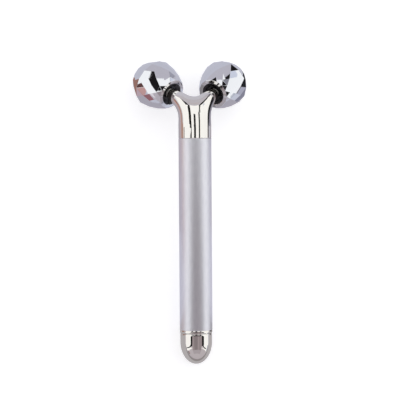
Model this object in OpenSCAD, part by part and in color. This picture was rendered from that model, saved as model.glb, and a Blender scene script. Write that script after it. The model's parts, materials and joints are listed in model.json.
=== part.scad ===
// Facial toning roller: a round battery handle, a forked head and two faceted rollers that spin freely.
// It lies on its back on the two rollers and the end cap, with the head towards +Y and the front towards +Z.
// Each piece is drawn upright in the handle's own frame, where z runs up the handle from the seam
// below the fork, y points to the back and x to the right. lay_down() then lays it on the table.

/* [Handle] */
// Outside diameter of the handle tube
tube_d = 17; // [16.8:0.1:20]
// Visible length of the handle tube
tube_l = 99.3; // [95:0.1:125]
// Wall thickness of the handle tube
tube_wall = 0.8; // [0.7:0.05:0.9]
// Height of the bright trim ring at the tube's lower end
ring_h = 1.7; // [1.2:0.1:3]
// Thickness of the trim ring's wall where it grips the tube
ring_wall = 0.35; // [0.25:0.05:0.4]
// Thickness of the trim ring's inward lip below the tube's end
ring_lip = 0.4; // [0.3:0.05:0.8]

/* [End cap] */
// How far the end cap's side lies inside the tube's
cap_inset = 0.25; // [0.1:0.05:0.5]
// Length of the cap's straight part
cap_straight = 4.7; // [4:0.1:8]
// Length of the cap's rounded nose
cap_nose = 11.5; // [10:0.1:16]
// Wall thickness of the end cap
cap_wall = 1.2; // [1:0.1:1.5]
// Open seam between the trim ring and the cap
cap_seam = 0.2; // [0.1:0.05:0.4]
// Length of thread that enters the tube
thread_l = 4; // [3:0.5:5]
// Thickness of the spring cup's floor
cup_floor = 1.6; // [1:0.1:2]
// Wall thickness of the threaded plug
plug_wall = 1.6; // [1.3:0.1:2]

/* [Rollers] */
// Diameter of a roller over its facet corners
roller_d = 25.5; // [24:0.1:27]
// Number of facets around a roller
facets = 15; // [13:1:18]
// Wall thickness of a roller's shells
roller_wall = 1.5; // [1.2:0.1:2]
// Distance between the two rollers' centres
roller_spacing = 35.6; // [34:0.1:40]
// How far the rollers' centres lie behind the handle's axis
roller_back = 17.1; // [15:0.1:20]
// How far the rollers' centres lie above the fork's seam
roller_up = 28.2; // [27:0.1:32]
// Height of a roller's rim face above its centre
rim_h = 12.3; // [12:0.1:13]
// Diameter of a roller's rim face
rim_d = 16; // [15:0.1:17]
// Diameter of the dark recess in the rim face
recess_d = 12; // [11.5:0.1:12.5]
// Diameter of the recess's flat floor
recess_floor_d = 7.8; // [7.4:0.1:8.4]
// Depth of the recess
recess_depth = 1.5; // [1.2:0.1:2]
// Height of the overlap where a roller's two shells meet
lap_h = 1.2; // [0.8:0.1:2]

/* [Axles] */
// Diameter of an axle
axle_d = 3; // [2.6:0.1:3.2]
// Depth of the axle in its arm
axle_grip = 7; // [5:0.5:8]
// Length of a roller's bush
bush_l = 9; // [7:0.5:10]
// Wall thickness of the bush
bush_wall = 0.9; // [0.7:0.1:1]
// Diameter of the washers
washer_d = 5.4; // [5:0.1:5.8]
// Thickness of the washers
washer_t = 0.5; // [0.4:0.1:0.8]
// Diameter of the retaining screw's thread
screw_d = 1.6; // [1.4:0.1:1.8]
// Length of the retaining screw's thread
screw_l = 4; // [3:0.5:6]

/* [Fork] */
// Diameter of an arm at its end
arm_end_d = 6.6; // [6.2:0.1:7.2]
// Angle of the axles above the level of the seam
arm_elevation = 25.2; // [20:0.5:30]
// Angle of the axles from the side towards the back
arm_azimuth = 51.5; // [47:0.5:56]
// Height at which the arms start to leave the neck
arm_root = 6.3; // [5:0.1:8]
// Height over which the neck heads upwards before it bends
arm_rise = 7.8; // [6:0.1:9]
// How far the neck leans back over that height
arm_lean = 1.2; // [0:0.1:2]
// Straight run of an arm before its end
arm_run = 8.7; // [7.5:0.1:10]
// Length of the spigot in the tube
spigot_l = 8; // [7:0.5:10]
// Wall thickness of the spigot behind the seal's groove
well_wall = 0.84; // [0.6:0.02:1]
// Depth of the well, from the spigot's end
well_depth = 10; // [8:0.5:11]

/* [Motor] */
// Wall thickness of the cradle around the motor
cradle_wall = 1.66; // [1:0.02:2]
// Length of the motor's can
motor_l = 20; // [18:0.5:21]
// Wall thickness of the motor's can
can_wall = 0.5; // [0.4:0.05:0.7]
// Height of the motor's end bell
bell_h = 2; // [1.5:0.1:3]
// Diameter of the motor's shaft
shaft_d = 1.5; // [1.2:0.1:2]
// Clearance between the spinning weight and the well's wall
weight_gap = 0.8; // [0.6:0.1:1.2]
// Height of the spinning weight
weight_h = 5; // [4:0.5:6]
// Thickness of the motor cradle's roof
cradle_roof = 1.2; // [1:0.1:2]

/* [Battery] */
// Thickness of the liner between the tube and the AA cell
liner_t = 0.33; // [0.2:0.01:0.5]
// Length of the spring behind the cell
spring_l = 13.2; // [12:0.1:14]
// Diameter of the cell's button
button_d = 5.5; // [5:0.1:6]
// Height of the cell's button
button_h = 1.2; // [1:0.1:1.6]
// Height of the cavity for the leads above the positive contact
lead_room = 6; // [5:0.5:7]
// Thickness of the contact carrier's floor
carrier_floor = 1.5; // [1:0.1:2]
// Wall thickness of the contact carrier's skirt
carrier_wall = 1; // [0.8:0.1:1.2]
// Diameter of the spring's wire
wire_d = 0.8; // [0.6:0.05:1]
// Number of turns of the spring
spring_turns = 6; // [5:1:8]
// Diameter of a lead
lead_d = 1; // [0.8:0.1:1.2]

/* [Hidden] */
$fn = 96;

// clearances
fixed_gap = 0.02;   // around a piece that is pressed or bonded in place
running_gap = 0.05; // around a shaft that turns
thread_gap = 0.1;   // around the cap's thread, drawn plain
stack_gap = 0.1;    // between pieces stacked along the handle
loose_gap = 0.25;   // around the cell
edge = 0.25;        // chamfer of the visible edges at a seam
cut = 1;            // how far a cutting body reaches past the face it cuts

RIGHT = 1;
LEFT = -1;

// radii of the handle
tube_r = tube_d / 2;
bore_r = tube_r - tube_wall;
snug_r = bore_r - fixed_gap;
rabbet_r = tube_r - ring_wall;
cap_r = tube_r - cap_inset;
cap_bore_r = cap_r - cap_wall;
plug_r = cap_bore_r - fixed_gap;
cup_r = plug_r - plug_wall;

// heights in the handle, from the seam below the fork downwards
z_tube_end = -(tube_l + ring_h - ring_lip);
z_ring_end = -(tube_l + ring_h);
z_cap_top = z_ring_end - cap_seam;
z_nose = z_cap_top - cap_straight;
z_plug_end = z_nose + stack_gap;
z_cup_floor = z_plug_end + cup_floor;
z_cradle_top = -(spigot_l + stack_gap);
z_motor_top = z_cradle_top - cradle_roof;
z_motor_end = z_motor_top - motor_l;
z_bell_end = z_motor_end - bell_h;
z_carrier_top = z_bell_end - stack_gap;
z_floor_top = z_carrier_top - lead_room;
z_carrier_end = z_floor_top - carrier_floor;
contact_t = 0.5;
contact_d = 7;
seat_t = 0.4;
rivet_r = 1.2;
cell_rim = 0.3;    // height of the cell's plastic ring around its button
cell_rim_in = 0.6; // how far that ring lies inside the cell's side
liner_over = 1;    // how far the liner reaches past the cell
z_contact_end = z_carrier_end - 2 * contact_t;
z_cell_top = z_contact_end - running_gap;
z_cell_shoulder = z_cell_top - button_h;
z_cell_end = z_cup_floor + seat_t + spring_l + stack_gap + running_gap; // leaves 50.5 mm, an AA cell's length

// seals: round rings in square grooves
seal_r = 0.55;
seal_back = bore_r - fixed_gap - seal_r; // radius of a seal's centre line inside the tube
seal_half = seal_r + 2 * fixed_gap;      // half the size of a seal's groove
well_r = seal_back - seal_half - well_wall;
z_neck_seal = -spigot_l / 2;
z_cap_seal = z_cap_top + 1.1;

// clip that takes the current from the tube's wall
clip_w = 3;
clip_t = 0.3;
clip_slot_h = 2;

// cell, 14.2 mm across as an AA cell is
cell_r = snug_r - liner_t - loose_gap;

// spring
wire_r = wire_d / 2;
spring_low_r = cup_r - wire_r - 2 * loose_gap;
spring_high_r = 0.6 * spring_low_r;
z_spring_low = z_cup_floor + seat_t + wire_r + running_gap;
z_spring_high = z_cell_end - wire_r - stack_gap;
closed_pitch = 1.08 * wire_d; // pitch of the closed turn at each end
open_pitch = (z_spring_high - z_spring_low - 2 * closed_pitch) / (spring_turns - 2);

// motor
motor_r = snug_r - cradle_wall - fixed_gap;
magnet_t = 1.2;
magnet_span = 140; // angle that a magnet covers
air_gap = 0.4;
shaft_r = shaft_d / 2;
armature_r = motor_r - can_wall - magnet_t - 2 * fixed_gap - air_gap;
armature_l = motor_l / 2;
z_armature_end = z_motor_end + 0.225 * motor_l;
bell_step = 1;      // how far the end bell enters the can
motor_bush_r = 1.6;
motor_bush_l = 2.4;
weight_r = well_r - weight_gap;
z_weight_end = z_cradle_top + 0.7;
weight_hub_wall = 1;
shaft_tip = 0.5;    // length of shaft above the weight
commutator_r = 7 / 30 * motor_r;
commutator_l = 2.2;
segment_gap = 0.2;  // slot between two segments of the commutator
segment_base = 0.4; // height of the commutator below its slots
brush_t = 0.3;
z_commutator = z_motor_end + 1.3;
z_terminal_top = z_commutator + commutator_l / 2 + brush_t;
terminal_w = 1.8;
terminal_t = 0.4;
terminal_l = 2.5;
terminal_x = 8 / 15 * motor_r; // the terminals' distance from the axis

// rollers, in a frame with z from the roller's centre to its hub
roller_r = roller_d / 2;
rim_r = rim_d / 2;
recess_r = recess_d / 2;
axle_r = axle_d / 2;
bush_r = axle_r + running_gap + bush_wall;
washer_r = washer_d / 2;
flange_h = 4;     // height of the hub's wide part
boss_wall = 1.2;  // wall around the hub in the front shell
hub_wall = 1.2;   // wall around the bush in the hub
hub_lip = 0.4;    // width of the hub's flat edge in the rim face
facet_sag = 0.4;  // how far the facets' middles lie inside their corners
back_lip = 0.5;   // how far the back shell's lip starts below the parting line
lip_wall = 1;     // wall thickness of that lip
step = 360 / facets;
belt_pol = 97;    // polar angle of the parting line, from the hub
z_part = roller_r * cos(belt_pol);
z_recess = rim_h - recess_depth;
z_thrust = rim_h - washer_t - stack_gap;
z_bush_top = z_thrust - running_gap;
z_bush_end = z_bush_top - bush_l;
z_axle_end = z_bush_end - running_gap;
screw_head_r = 1.5;
screw_head_h = 1.1;
screw_slot_w = 0.4;
hub_r = bush_r + fixed_gap + hub_wall;
right_phase = 5.3; // angle at which each roller has stopped
left_phase = 0.6;

// An outline's second point, so that the kite from the first through the side row to it lies flat:
// the chord from p through the side row's mid-point meets the sphere of radius r there.
function chord_end(p, side, r) =
  let (
    q = [side[0] * cos(step / 2), side[1]],
    v = q - p,
    a = v * v,
    b = p * v,
    c = p * p - r * r
  ) p + v * ((-b + sqrt(b * b - a * c)) / a);

function on_sphere(pol, r) = r * [sin(pol), cos(pol)];

// rows of facet corners as [distance from the axis, height]; every other row is turned by half a step
belt = on_sphere(belt_pol, roller_r);
upper_side = on_sphere(75, 0.963 * roller_r);
shoulder = chord_end(belt, upper_side, roller_r);
crown = [0.732 * roller_r, 0.8 * roller_r];
rim = [rim_r, rim_h];
lower_side = on_sphere(119, 0.946 * roller_r);
lower_ring = chord_end(belt, lower_side, roller_r);
tail = on_sphere(158, roller_r);

front_rows = [belt, upper_side, shoulder, crown, rim];
back_rows = [belt, lower_side, lower_ring, tail];

function row_points(row, turned) = [
  for (k = [0:facets - 1])
    let (a = (k + (turned ? 0.5 : 0)) * step) [row[0] * cos(a), row[0] * sin(a), row[1]]
];

function rows_points(rows) = [for (i = [0:len(rows) - 1]) each row_points(rows[i], i % 2 == 1)];

// place of the right roller's frame in the handle's frame
roller_at = [roller_spacing / 2, roller_back, roller_up];
roller_polar = 90 + arm_elevation;
roller_azimuth = arm_azimuth + 180;
hub_dir = [sin(roller_polar) * cos(roller_azimuth), sin(roller_polar) * sin(roller_azimuth), cos(roller_polar)];
arm_end = roller_at + rim_h * hub_dir;

// how the handle lies: the tilt at which the rollers and the cap's nose touch the table together
all_rows = concat(rows_points(front_rows), rows_points(back_rows));

function turn_z(p, a) = [p[0] * cos(a) - p[1] * sin(a), p[0] * sin(a) + p[1] * cos(a), p[2]];

function to_handle(p) =
  let (
    q = [p[0] * cos(roller_polar) + p[2] * sin(roller_polar), p[1], p[2] * cos(roller_polar) - p[0] * sin(roller_polar)]
  ) roller_at + turn_z(q, roller_azimuth);

function roller_corners(phase) = [for (p = all_rows) to_handle(turn_z(p, phase))];

corners = concat(roller_corners(right_phase), roller_corners(left_phase));

// how far the cap's nose reaches from its centre along a direction at angle a from the handle's axis
function nose_reach(a) = norm([cap_r * sin(a), cap_nose * cos(a)]);

function roller_drop(tilt) = max([for (p = corners) p[1] * cos(tilt) - p[2] * sin(tilt)]);

function nose_drop(tilt) = nose_reach(90 - tilt) - z_nose * sin(tilt);

function lie_tilt(tilt, rounds) =
  rounds == 0 ? tilt
  : lie_tilt(tilt + (roller_drop(tilt) - nose_drop(tilt)) / (roller_up - z_nose) * 180 / PI, rounds - 1);

tilt = lie_tilt(9, 8);
rest_z = roller_drop(tilt);
head_y = max([for (p = corners) p[1] * sin(tilt) + p[2] * cos(tilt)]);
nose_y = z_nose * cos(tilt) - nose_reach(tilt);

module lay_down() {
  translate([0, -(head_y + nose_y) / 2, rest_z]) rotate([tilt - 90, 0, 0]) children();
}

// a piece on the right or the left side
module on_side(side) {
  mirror([side == LEFT ? 1 : 0, 0, 0]) children();
}

// a piece in a roller's frame
module at_roller(side) {
  lay_down() on_side(side) translate(roller_at) rotate([0, roller_polar, roller_azimuth]) children();
}

// a ring between two heights and two radii
module ring(r_out, r_in, z_low, z_high) {
  translate([0, 0, z_low]) rotate_extrude() translate([r_in, 0]) square([r_out - r_in, z_high - z_low]);
}

// a disc between two heights
module disc(r, z_low, z_high) {
  translate([0, 0, z_low]) cylinder(r = r, h = z_high - z_low);
}

module o_ring(z) {
  translate([0, 0, z]) rotate_extrude() translate([seal_back, 0]) circle(r = seal_r, $fn = 32);
}

module seal_groove(z) {
  ring(bore_r + cut, seal_back - seal_half, z - seal_half, z + seal_half);
}

// a tube of circles swept along a route of points
module sweep(route, r, sides = 8) {
  last = len(route) - 1;
  dirs = [
    for (i = [0:last])
      let (d = route[min(i + 1, last)] - route[max(i - 1, 0)]) d / norm(d)
  ];
  rings = [
    for (i = [0:last])
      let (
        ref = abs(dirs[i][2]) < 0.9 ? [0, 0, 1] : [0, 1, 0],
        u = cross(dirs[i], ref) / norm(cross(dirs[i], ref)),
        v = cross(dirs[i], u)
      )
      for (k = [0:sides - 1]) route[i] + r * (u * cos(360 * k / sides) + v * sin(360 * k / sides))
  ];
  sides_faces = [
    for (i = [0:last - 1], k = [0:sides - 1], half = [0, 1])
      let (a = i * sides + k, b = i * sides + (k + 1) % sides)
        half == 0 ? [a, a + sides, b + sides] : [a, b + sides, b]
  ];
  polyhedron(
    points = rings,
    faces = concat(
      [[for (k = [0:sides - 1]) k]],
      sides_faces,
      [[for (k = [sides - 1:-1:0]) last * sides + k]]
    )
  );
}

// the convex body of a set of points
module facet_body(points) {
  hull() polyhedron(points = points, faces = [for (i = [0:len(points) - 3]) [i, i + 1, i + 2]]);
}

// ---- handle ----

module handle_tube() {
  color("lavender") lay_down() rotate_extrude() polygon([
    [bore_r, -edge / 2], [bore_r + edge / 2, 0], [tube_r - edge, 0], [tube_r, -edge],
    [tube_r, -tube_l], [rabbet_r, -tube_l], [rabbet_r, z_tube_end], [bore_r, z_tube_end]
  ]);
}

module trim_ring() {
  color("silver") lay_down() rotate_extrude() polygon([
    [rabbet_r + fixed_gap, -tube_l], [tube_r - edge / 2, -tube_l], [tube_r, -tube_l - edge / 2],
    [tube_r, z_ring_end + edge], [tube_r - edge, z_ring_end], [bore_r + thread_gap, z_ring_end],
    [bore_r + thread_gap, z_tube_end], [rabbet_r + fixed_gap, z_tube_end]
  ]);
}

// the arm's centre line and radius at a share t of its length
root = [0, 0, arm_root];
bend_low = [0, arm_lean, arm_root + arm_rise];
bend_high = arm_end + arm_run * hub_dir;
arm_end_r = arm_end_d / 2;

function bezier(t) =
  pow(1 - t, 3) * root + 3 * pow(1 - t, 2) * t * bend_low + 3 * (1 - t) * t * t * bend_high + pow(t, 3) * arm_end;

function bezier_dir(t) =
  let (
    d = pow(1 - t, 2) * (bend_low - root) + 2 * (1 - t) * t * (bend_high - bend_low) + t * t * (arm_end - bend_high)
  ) d / norm(d);

function arm_r(t) = arm_end_r + (tube_r - arm_end_r) * pow(1 - pow(t, 1.22), 1.38);

ARM_STEPS = 9;
CROTCH_STEPS = 3;
crotch_share = 0.57; // share of an arm's length up to which the two are joined
slice = 0.02;        // thickness of the slices from which an arm is made

module arm_section(t, thin = false) {
  d = bezier_dir(t);
  translate(bezier(t)) rotate([0, acos(d[2]), atan2(d[1], d[0])])
    cylinder(r = arm_r(t) - (thin ? slice : 0), h = slice, center = true, $fn = 40);
}

module arm() {
  hull() {
    disc(tube_r, arm_root - cut, arm_root, $fn = 40);
    arm_section(1 / ARM_STEPS);
  }
  for (i = [1:ARM_STEPS - 1]) hull() {
    arm_section(i / ARM_STEPS);
    arm_section((i + 1) / ARM_STEPS);
  }
}

// what fills the crotch between the two arms
module crotch() {
  for (i = [0:CROTCH_STEPS - 1]) hull() for (t = [i, i + 1], side = [RIGHT, LEFT])
    on_side(side) arm_section(t / CROTCH_STEPS * crotch_share, thin = true);
}

// the hole for an axle, down the arm from its end
module axle_hole() {
  translate(roller_at) rotate([0, roller_polar, roller_azimuth])
    disc(axle_r + fixed_gap, rim_h - cut, rim_h + axle_grip + fixed_gap, $fn = 32);
}

module fork_head() {
  color("silver") lay_down() difference() {
    union() {
      disc(snug_r, -spigot_l, edge, $fn = 72);
      disc(tube_r - edge, 0, arm_root, $fn = 72);
      disc(tube_r, edge, arm_root, $fn = 72);
      for (side = [RIGHT, LEFT]) on_side(side) arm();
      crotch();
    }
    disc(well_r, -spigot_l - cut, well_depth - spigot_l, $fn = 48);
    seal_groove(z_neck_seal, $fn = 72);
    for (side = [RIGHT, LEFT]) on_side(side) axle_hole();
  }
}

module neck_seal() {
  color("dimgray") lay_down() o_ring(z_neck_seal);
}

// ---- motor ----

module motor_cradle() {
  color("darkslategray") lay_down() difference() {
    disc(snug_r, z_bell_end, z_cradle_top);
    disc(motor_r + fixed_gap, z_bell_end - cut, z_motor_top);
    disc(motor_bush_r + 2 * fixed_gap, z_motor_top - cut, z_cradle_top + cut);
  }
}

module motor_can() {
  color("gainsboro") lay_down() difference() {
    disc(motor_r, z_motor_end, z_motor_top);
    disc(motor_r - can_wall, z_motor_end - cut, z_motor_top - can_wall);
    disc(motor_bush_r + fixed_gap, z_motor_top - cut, z_motor_top + cut);
  }
}

// two curved magnets on the can's wall
module motor_magnets() {
  r_out = motor_r - can_wall - fixed_gap;
  color("dimgray") lay_down() for (a = [0, 180]) rotate(a - magnet_span / 2)
    translate([0, 0, z_armature_end]) rotate_extrude(angle = magnet_span)
      translate([r_out - magnet_t, 0]) square([magnet_t, armature_l]);
}

module motor_bush() {
  color("goldenrod") lay_down()
    ring(motor_bush_r, shaft_r + running_gap, z_motor_top - motor_bush_l, z_motor_top + cradle_roof / 2);
}

module motor_end_bell() {
  color("whitesmoke") lay_down() difference() {
    union() {
      disc(motor_r, z_bell_end, z_motor_end);
      disc(motor_r - can_wall - fixed_gap, z_bell_end, z_motor_end + bell_step);
    }
    disc(shaft_r + running_gap, z_bell_end + bell_h / 2, z_motor_end + bell_step + cut);
    for (side = [RIGHT, LEFT]) terminal_slot(side);
  }
}

module terminal_slot(side) {
  size = [terminal_t + 2 * fixed_gap, terminal_w + 2 * fixed_gap, bell_h + 2 * (bell_step + cut)];
  translate([side * terminal_x, 0, z_bell_end + bell_h / 2]) cube(size, center = true);
}

module motor_terminals() {
  z_low = z_bell_end - terminal_l;
  color("goldenrod") lay_down() for (side = [RIGHT, LEFT])
    translate([side * terminal_x - terminal_t / 2, -terminal_w / 2, z_low])
      cube([terminal_t, terminal_w, z_terminal_top - z_low]);
}

module motor_armature() {
  color("saddlebrown") lay_down() {
    difference() {
      disc(armature_r, z_armature_end, z_armature_end + armature_l);
      disc(shaft_r + fixed_gap, z_armature_end - cut, z_armature_end + armature_l + cut);
      for (a = [0:120:240]) rotate(a) translate([armature_r, 0, z_armature_end - cut])
        cylinder(r = armature_r / 4, h = armature_l + 2 * cut);
    }
  }
}

module motor_shaft() {
  z_low = z_bell_end + bell_h / 2 + running_gap;
  color("silver") lay_down() disc(shaft_r, z_low, z_weight_end + weight_h + shaft_tip);
}

// copper segments around the shaft, where the brushes press
module motor_commutator() {
  color("peru") lay_down() difference() {
    ring(commutator_r, shaft_r + fixed_gap, z_commutator, z_commutator + commutator_l);
    for (a = [0:60:120]) rotate(a)
      translate([-commutator_r - cut, -segment_gap / 2, z_commutator + segment_base])
        cube([2 * (commutator_r + cut), segment_gap, commutator_l]);
  }
}

// a leaf from each terminal to the commutator
module motor_brushes() {
  x_low = commutator_r + running_gap;
  x_high = terminal_x - terminal_t / 2;
  color("goldenrod") lay_down() for (side = [RIGHT, LEFT]) on_side(side)
    translate([x_low, -terminal_w / 2, z_commutator + commutator_l / 2]) cube([x_high - x_low, terminal_w, brush_t]);
}

// a half disc whose heavy side hangs down when the handle lies
module spinning_weight() {
  hub = shaft_r + weight_hub_wall;
  color("darkkhaki") lay_down() difference() {
    union() {
      intersection() {
        disc(weight_r, z_weight_end, z_weight_end + weight_h);
        translate([-weight_r, 0, z_weight_end]) cube([2 * weight_r, weight_r, weight_h]);
      }
      disc(hub, z_weight_end, z_weight_end + weight_h);
    }
    disc(shaft_r + fixed_gap, z_weight_end - cut, z_weight_end + weight_h + cut);
  }
}

// ---- battery bay ----

module contact_carrier() {
  color("darkslategray") lay_down() difference() {
    disc(snug_r, z_carrier_end, z_carrier_top);
    disc(snug_r - carrier_wall, z_floor_top, z_carrier_top + cut);
    disc(rivet_r + fixed_gap, z_carrier_end - cut, z_floor_top + cut);
    translate([-bore_r - cut, -clip_w / 2 - fixed_gap, z_carrier_top - clip_slot_h])
      cube([bore_r, clip_w + 2 * fixed_gap, clip_slot_h + cut]);
  }
}

// a domed head below the carrier's floor, riveted through it, with a solder tab on top
module positive_contact() {
  color("goldenrod") lay_down() {
    disc(contact_d / 2, z_carrier_end - contact_t, z_carrier_end);
    disc(button_d / 2, z_contact_end, z_carrier_end - contact_t);
    disc(rivet_r, z_carrier_end - contact_t, z_floor_top);
    disc(2 * rivet_r, z_floor_top, z_floor_top + contact_t);
  }
}

// a leaf that presses on the tube's wall through the carrier's slot
module ground_clip() {
  z_mid = z_carrier_top - clip_slot_h / 2;
  color("goldenrod") lay_down() intersection() {
    union() {
      translate([-snug_r, -clip_w / 2, z_mid]) cube([snug_r - terminal_x - lead_d, clip_w, clip_t]);
      ring(snug_r, snug_r - clip_t, z_mid - clip_slot_h / 2, z_mid + clip_t);
    }
    disc(snug_r, z_carrier_top - clip_slot_h, z_carrier_top);
    translate([-bore_r, -clip_w / 2, z_carrier_top - clip_slot_h]) cube([bore_r, clip_w, clip_slot_h]);
  }
}

z_solder = z_bell_end - terminal_l / 2;

module positive_lead() {
  x = terminal_x + terminal_t / 2 + lead_d / 2;
  z_tab = z_floor_top + contact_t + lead_d / 2;
  color("red") lay_down() sweep([
    [x, 0, z_solder], [x, 0.3, z_solder - 1], [x - 0.2, 0.8, z_solder - 2],
    [x - 1, 1, z_tab + 0.9], [x - 2, 0.8, z_tab + 0.1], [x - 3.2, 0.3, z_tab]
  ], lead_d / 2);
}

module negative_lead() {
  x = terminal_x + terminal_t / 2 + lead_d / 2;
  run = snug_r - carrier_wall - lead_d - x; // from the terminal to the clip
  z_clip = z_carrier_top - clip_slot_h / 2 - lead_d / 2;
  color("black") lay_down() sweep([
    [-x, 0, z_solder - 0.6], [-x - 0.3 * run, 0.2, z_solder - 1], [-x - 0.6 * run, 0.3, z_solder - 0.8],
    [-x - 0.8 * run, 0.2, z_clip - 0.3], [-x - run, 0, z_clip]
  ], lead_d / 2);
}

module battery_liner() {
  color("ivory") lay_down()
    ring(snug_r, cell_r + loose_gap, z_cell_end - liner_over, z_carrier_end - stack_gap);
}

module battery_cell() {
  color("slategray") lay_down() disc(cell_r, z_cell_end, z_cell_shoulder - cell_rim);
}

module battery_gasket() {
  color("black") lay_down() ring(cell_r - cell_rim_in, button_d / 2 + fixed_gap, z_cell_shoulder - cell_rim, z_cell_shoulder);
}

module battery_button() {
  color("silver") lay_down() disc(button_d / 2, z_cell_shoulder - cell_rim, z_cell_top);
}

// ---- end cap ----

// a cone of wire with one closed turn at each end
function spring_point(turn) =
  let (
    low = min(turn, 1),
    high = max(turn - spring_turns + 1, 0),
    r = spring_low_r + (spring_high_r - spring_low_r) * turn / spring_turns,
    z = z_spring_low + (low + high) * closed_pitch + (turn - low - high) * open_pitch
  ) [r * cos(360 * turn), r * sin(360 * turn), z];

module contact_spring() {
  color("silver") lay_down() sweep([for (i = [0:14 * spring_turns]) spring_point(i / 14)], wire_r, 6);
}

// half of an oval nose's outline, from its widest place down to its tip
function nose_outline(r, l, n = 28) = [
  for (i = [0:n]) let (a = 90 * i / n) [r * cos(a), z_nose - l * sin(a)]
];

module end_cap() {
  inner_nose = nose_outline(cap_bore_r, cap_nose - cap_wall);
  color("silver") lay_down() rotate_extrude() polygon(concat(
    [[cap_bore_r, z_cap_top], [cap_r - edge, z_cap_top], [cap_r, z_cap_top - edge]],
    nose_outline(cap_r, cap_nose),
    [for (i = [len(inner_nose) - 1:-1:0]) inner_nose[i]]
  ));
}

module threaded_plug() {
  color("gainsboro") lay_down() difference() {
    union() {
      disc(bore_r - thread_gap, z_cap_top, z_cap_top + thread_l);
      disc(plug_r, z_plug_end, z_cap_top);
    }
    disc(cup_r, z_cup_floor, z_cap_top + thread_l + cut);
    seal_groove(z_cap_seal);
  }
}

module spring_seat() {
  color("silver") lay_down() disc(cup_r - fixed_gap, z_cup_floor, z_cup_floor + seat_t);
}

module cap_seal() {
  color("dimgray") lay_down() o_ring(z_cap_seal);
}

// ---- rollers ----

module axle(side) {
  color("silver") at_roller(side) difference() {
    disc(axle_r, z_axle_end, rim_h + axle_grip);
    disc(screw_d / 2 + fixed_gap, z_axle_end - cut, z_axle_end + screw_l + stack_gap);
  }
}

belt_in = belt[0] * cos(step / 2) - roller_wall; // radius inside the shells at the parting line

// a corner row's place on the inside of the shell
function inside(p) = p * (1 - roller_wall / roller_r) - [facet_sag, 0];

// shell that carries the rim and the hub
module roller_front(side, phase) {
  color("silver") at_roller(side) rotate(phase) difference() {
    facet_body(rows_points(front_rows));
    difference() {
      rotate_extrude() polygon([
        [0, z_part - cut], [belt_in, z_part - cut], [belt_in, z_part + lap_h + stack_gap],
        inside(upper_side), inside(shoulder),
        [rim_r - facet_sag, rim_h - roller_wall], [0, rim_h - roller_wall]
      ]);
      disc(recess_r + boss_wall, rim_h - flange_h - boss_wall, rim_h);
    }
    disc(recess_r, z_part - cut, rim_h + cut);
  }
}

// plain shell, with a lip that enters the front shell
module roller_back(side, phase) {
  color("silver") at_roller(side) rotate(phase) difference() {
    union() {
      facet_body(rows_points(back_rows));
      disc(belt_in - fixed_gap, z_part - back_lip, z_part + lap_h);
    }
    rotate_extrude() polygon([
      [0, z_part + lap_h + cut], [belt_in - lip_wall, z_part + lap_h + cut], [belt_in - lip_wall, z_part],
      inside(lower_side), inside(lower_ring), [tail[0] - facet_sag, tail[1] + roller_wall], [0, tail[1] + roller_wall]
    ]);
  }
}

// dark hub: a wide flange in the rim's recess and a boss around the bush
module hub(side) {
  snug = recess_r - fixed_gap;
  floor_r = recess_floor_d / 2;
  color("black") at_roller(side) rotate_extrude() polygon([
    [bush_r + fixed_gap, z_bush_end], [hub_r, z_bush_end], [hub_r, rim_h - flange_h],
    [snug, rim_h - flange_h], [snug, rim_h], [snug - hub_lip, rim_h],
    [floor_r, z_recess], [bush_r + fixed_gap, z_recess]
  ]);
}

module bush(side) {
  color("ivory") at_roller(side) ring(bush_r, axle_r + running_gap, z_bush_end, z_bush_top);
}

module thrust_washer(side) {
  color("silver") at_roller(side) ring(washer_r, axle_r + fixed_gap, z_thrust, z_thrust + washer_t);
}

module end_washer(side) {
  color("silver") at_roller(side) ring(washer_r, screw_d / 2 + fixed_gap, z_axle_end - washer_t, z_axle_end);
}

module screw(side) {
  z_head = z_axle_end - washer_t;
  color("dimgray") at_roller(side) difference() {
    union() {
      disc(screw_d / 2, z_head - screw_head_h / 2, z_axle_end + screw_l);
      disc(screw_head_r, z_head - screw_head_h, z_head);
    }
    translate([-screw_head_r - cut, -screw_slot_w / 2, z_head - screw_head_h - cut])
      cube([2 * (screw_head_r + cut), screw_slot_w, cut + screw_head_h / 2]);
  }
}

handle_tube();
trim_ring();
fork_head();
neck_seal();
motor_cradle();
motor_can();
motor_magnets();
motor_bush();
motor_end_bell();
motor_terminals();
motor_brushes();
motor_armature();
motor_commutator();
motor_shaft();
spinning_weight();
contact_carrier();
positive_contact();
ground_clip();
positive_lead();
negative_lead();
battery_liner();
battery_cell();
battery_gasket();
battery_button();
contact_spring();
end_cap();
threaded_plug();
spring_seat();
cap_seal();
axle(RIGHT);  // right_axle
roller_front(RIGHT, right_phase);  // right_roller_front
roller_back(RIGHT, right_phase);  // right_roller_back
hub(RIGHT);  // right_hub
bush(RIGHT);  // right_bush
thrust_washer(RIGHT);  // right_thrust_washer
end_washer(RIGHT);  // right_end_washer
screw(RIGHT);  // right_screw
axle(LEFT);  // left_axle
roller_front(LEFT, left_phase);  // left_roller_front
roller_back(LEFT, left_phase);  // left_roller_back
hub(LEFT);  // left_hub
bush(LEFT);  // left_bush
thrust_washer(LEFT);  // left_thrust_washer
end_washer(LEFT);  // left_end_washer
screw(LEFT);  // left_screw
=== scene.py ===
import json
import math

import bmesh
import bpy
import numpy as np
from mathutils import Matrix, Vector

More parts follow.
